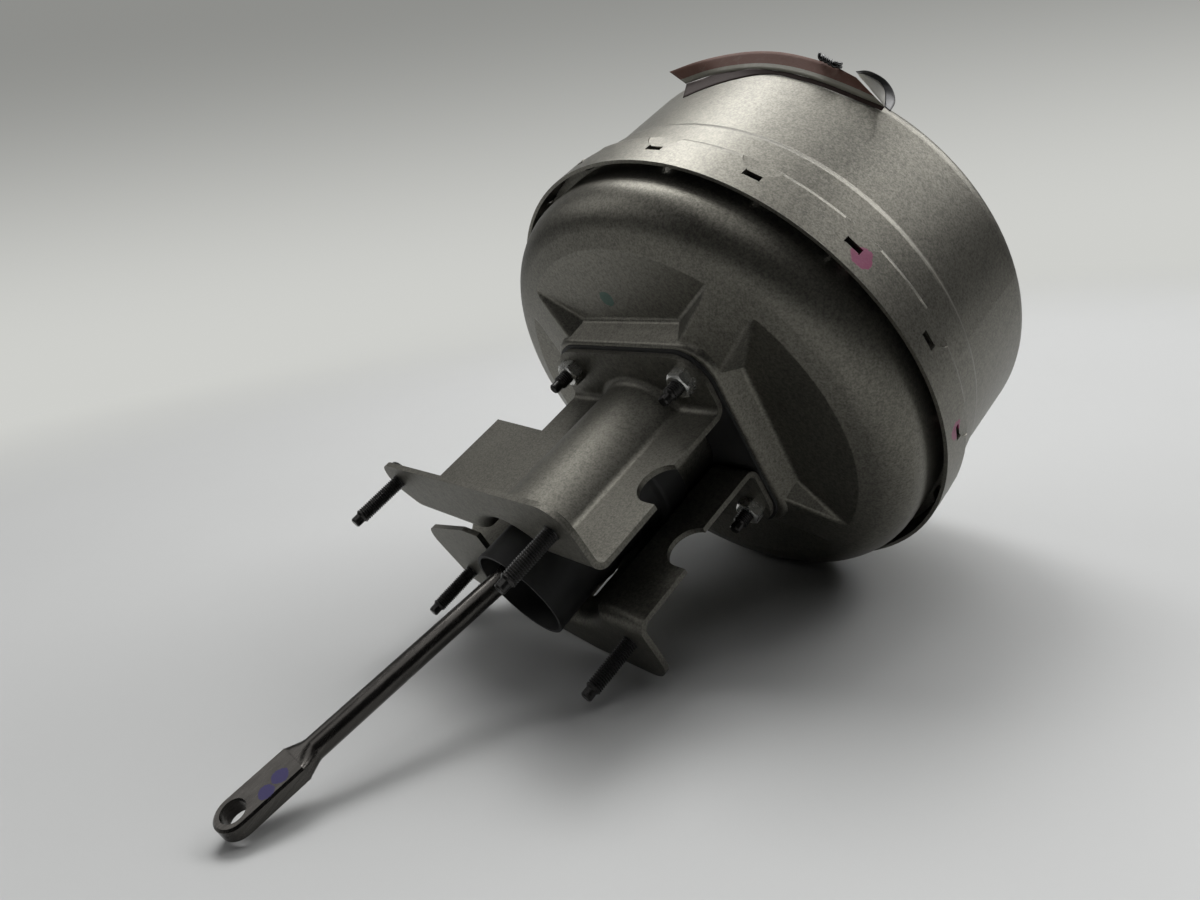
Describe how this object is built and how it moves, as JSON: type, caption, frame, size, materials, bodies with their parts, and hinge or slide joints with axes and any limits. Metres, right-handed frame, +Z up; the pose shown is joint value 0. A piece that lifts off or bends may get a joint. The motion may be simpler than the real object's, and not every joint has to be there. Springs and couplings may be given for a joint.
{
  "type": "brake booster",
  "caption": "Tandem vacuum brake booster: crimped round steel shell with a pressed two-part firewall bracket, rubber boot and long eye-ended pedal push rod.",
  "frame": {"origin": "centre of the two master cylinder studs, on the booster's axis, in the plane of the front pad that the master cylinder seats on", "axes": "+Y forward along the booster's axis towards the master cylinder, +Z up as mounted on the firewall, +X to the right seen from behind looking forward"},
  "size_m": [0.274, 0.4535, 0.274],
  "materials": {
    "zinc_shell": "satin, fine grained warm grey zinc coat",
    "zinc_bracket": "satin, fine grained grey zinc coat",
    "plate_steel": "plain pressed steel, lightly plated",
    "stud_black": "black phosphate, slight sheen",
    "nut_zinc": "bright zinc plate",
    "rod_steel": "dark polished steel",
    "spring_steel": "oiled spring steel",
    "rubber_black": "matt black rubber",
    "resin_dark": "moulded resin, satin black",
    "plunger_alloy": "turned light alloy",
    "filter_felt": "grey felt and open foam"
  },
  "bodies": {
    "booster": {"booster_nut_0": "nut_zinc", "booster_nut_1": "nut_zinc", "booster_nut_2": "nut_zinc", "booster_nut_3": "nut_zinc", "booster_stud_0": "stud_black", "booster_stud_1": "stud_black", "booster_stud_2": "stud_black", "booster_stud_3": "stud_black", "boot": "rubber_black", "bracket_lower": "zinc_bracket", "bracket_upper": "zinc_bracket", "check_valve": "resin_dark", "divider": "plate_steel", "divider_seal": "rubber_black", "firewall_stud_0": "stud_black", "firewall_stud_1": "stud_black", "firewall_stud_2": "stud_black", "firewall_stud_3": "stud_black", "front_diaphragm": "rubber_black", "front_plate": "plate_steel", "front_seal": "rubber_black", "front_seal_ring": "plate_steel", "front_shell": "zinc_shell", "gasket": "rubber_black", "grommet": "rubber_black", "master_stud_0": "stud_black", "master_stud_1": "stud_black", "rear_bearing": "resin_dark", "rear_diaphragm": "rubber_black", "rear_plate": "plate_steel", "rear_seal": "rubber_black", "rear_shell": "zinc_shell", "return_spring": "spring_steel"},
    "piston": {"valve_body": "resin_dark", "valve_key": "rod_steel", "rear_piston_plate": "plate_steel", "front_piston_plate": "plate_steel", "reaction_disc": "rubber_black", "output_rod": "rod_steel", "output_rod_clip": "plate_steel", "adjusting_screw": "rod_steel", "poppet": "rubber_black", "poppet_spring": "spring_steel", "poppet_retainer": "plate_steel", "air_filter": "filter_felt", "silencer": "filter_felt"},
    "plunger": {"plunger": "plunger_alloy", "plunger_spring": "spring_steel"},
    "push_rod": {"push_rod": "rod_steel"}
  },
  "joints": [
    {"name": "piston_slide", "type": "slide", "parent": "booster", "child": "piston", "axis": [0, 1, 0], "range_m": [0, 0.028], "stiffness_N_per_m": 4000, "springref_m": -0.03, "deforming": ["return_spring", "rear_diaphragm", "front_diaphragm"]},
    {"name": "plunger_slide", "type": "slide", "parent": "piston", "child": "plunger", "axis": [0, 1, 0], "range_m": [0, 0.0025], "stiffness_N_per_m": 2000, "springref_m": -0.01, "deforming": ["plunger_spring"]},
    {"name": "push_rod_swing", "type": "hinge", "parent": "plunger", "child": "push_rod", "pos_m": [0, -0.1595, 0], "axis": [0.9798, 0, -0.2], "range_deg": [0, 15.27]}
  ]
}
